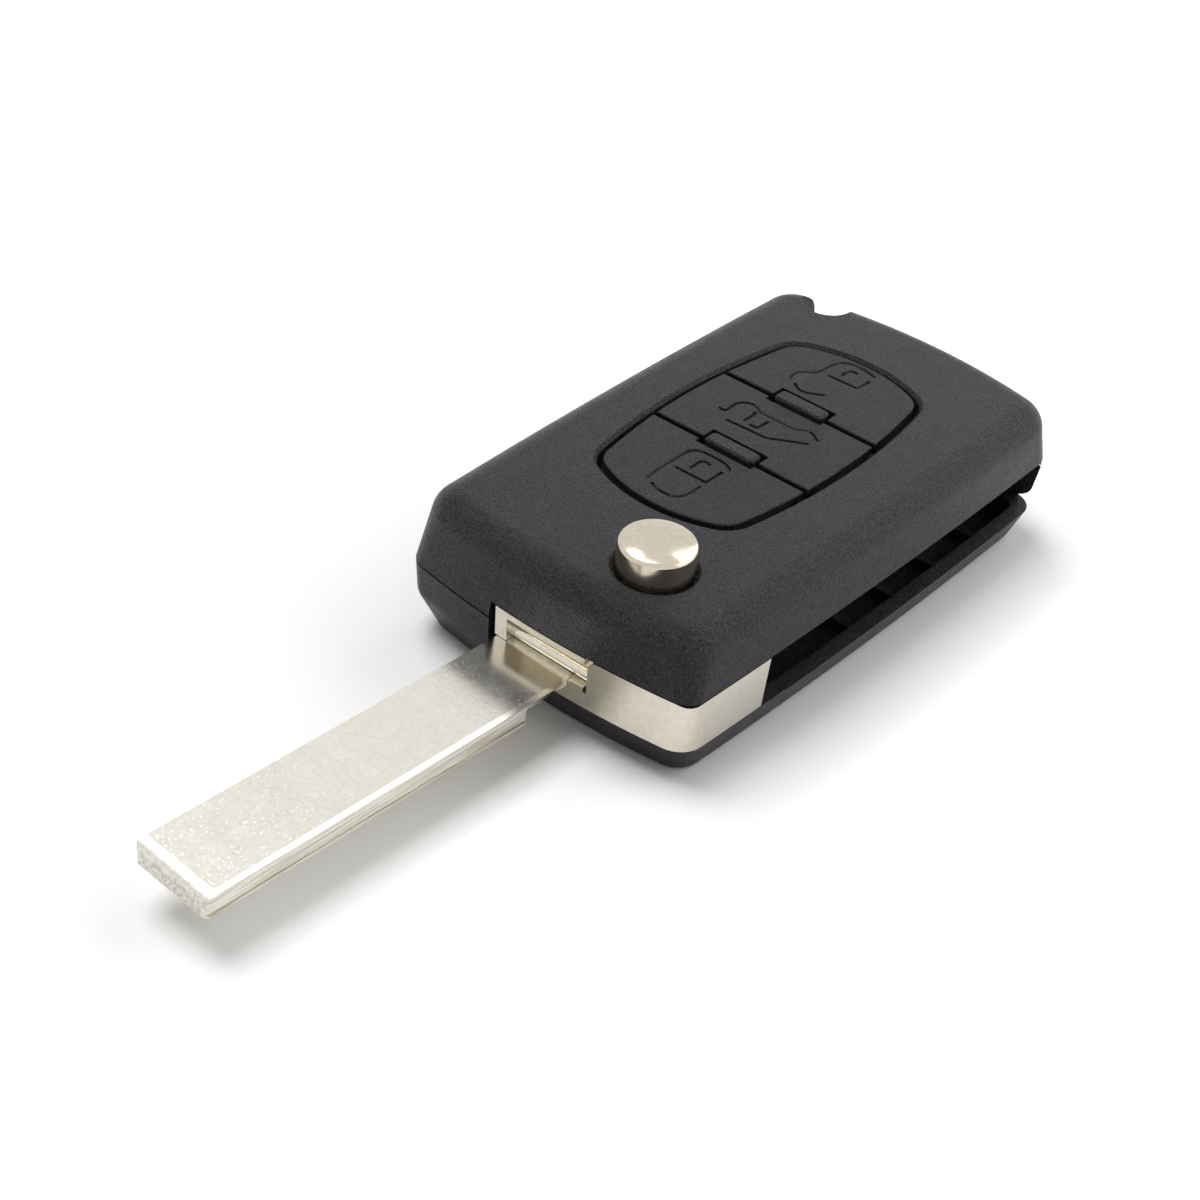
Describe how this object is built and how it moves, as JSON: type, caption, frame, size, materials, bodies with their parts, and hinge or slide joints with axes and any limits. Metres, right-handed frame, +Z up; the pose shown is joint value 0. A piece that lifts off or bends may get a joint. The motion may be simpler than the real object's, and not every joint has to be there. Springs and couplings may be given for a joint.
{
  "type": "flip key remote",
  "caption": "Flip key remote: a two-shell plastic case with lock, unlock and boot keys, a release button and a nickel blade on a swinging hub.",
  "frame": {"origin": "centre of the case's flat resting face", "axes": "+Z up through the keys, -Y towards the unfolded blade's tip, +X towards the slot side"},
  "size_m": [0.0362, 0.1059, 0.0194],
  "materials": {
    "case_plastic": "fine spark-eroded black",
    "key_plastic": "soft matt black",
    "hub_nickel": "satin nickel plate",
    "blade_nickel": "satin nickel plate",
    "button_nickel": "bright nickel plate",
    "pin_steel": "ground",
    "collar_zinc": "as cast",
    "spring_steel": "drawn wire",
    "mat_rubber": "matt",
    "board_laminate": "solder mask",
    "switch_body": "moulded",
    "switch_plunger": "moulded",
    "cell_steel": "pressed can",
    "clip_metal": "tinned strip",
    "chip_epoxy": "moulded",
    "crystal_can": "drawn can",
    "coil_copper": "enamelled wire",
    "transponder_epoxy": "moulded",
    "screw_steel": "black zinc"
  },
  "bodies": {
    "case": {"top_shell": "case_plastic", "bottom_shell": "case_plastic", "keypad_mat": "mat_rubber", "circuit_board": "board_laminate", "unlock_switch": "switch_body", "boot_switch": "switch_body", "lock_switch": "switch_body", "battery": "cell_steel", "battery_clip_plus": "clip_metal", "battery_clip_minus": "clip_metal", "controller_chip": "chip_epoxy", "crystal": "crystal_can", "antenna_coil": "coil_copper", "transponder": "transponder_epoxy", "case_screw": "screw_steel"},
    "blade_unit": {"flip_hub": "hub_nickel", "key_blade": "blade_nickel", "blade_pin": "pin_steel"},
    "release": {"release_button": "button_nickel", "lock_collar": "collar_zinc", "flip_spring": "spring_steel"},
    "unlock": {"unlock_key": "key_plastic", "unlock_plunger": "switch_plunger"},
    "boot": {"boot_key": "key_plastic", "boot_plunger": "switch_plunger"},
    "lock": {"lock_key": "key_plastic", "lock_plunger": "switch_plunger"}
  },
  "joints": [
    {"name": "blade_flip", "type": "hinge", "parent": "case", "child": "blade_unit", "pos_m": [0.00645, -0.02395, 0.0067], "axis": [0, 0, 1], "range_deg": [0, 182.1]},
    {"name": "release_press", "type": "slide", "parent": "blade_unit", "child": "release", "axis": [0, 0, -1], "range_m": [0, 0.0024], "stiffness_N_per_m": 1200, "springref_m": -0.001, "deforming": ["flip_spring"]},
    {"name": "unlock_press", "type": "slide", "parent": "case", "child": "unlock", "axis": [0, 0, -1], "range_m": [0, 0.0004], "stiffness_N_per_m": 4000, "springref_m": -0.0001},
    {"name": "boot_press", "type": "slide", "parent": "case", "child": "boot", "axis": [0, 0, -1], "range_m": [0, 0.0004], "stiffness_N_per_m": 4000, "springref_m": -0.0001},
    {"name": "lock_press", "type": "slide", "parent": "case", "child": "lock", "axis": [0, 0, -1], "range_m": [0, 0.0004], "stiffness_N_per_m": 4000, "springref_m": -0.0001}
  ]
}
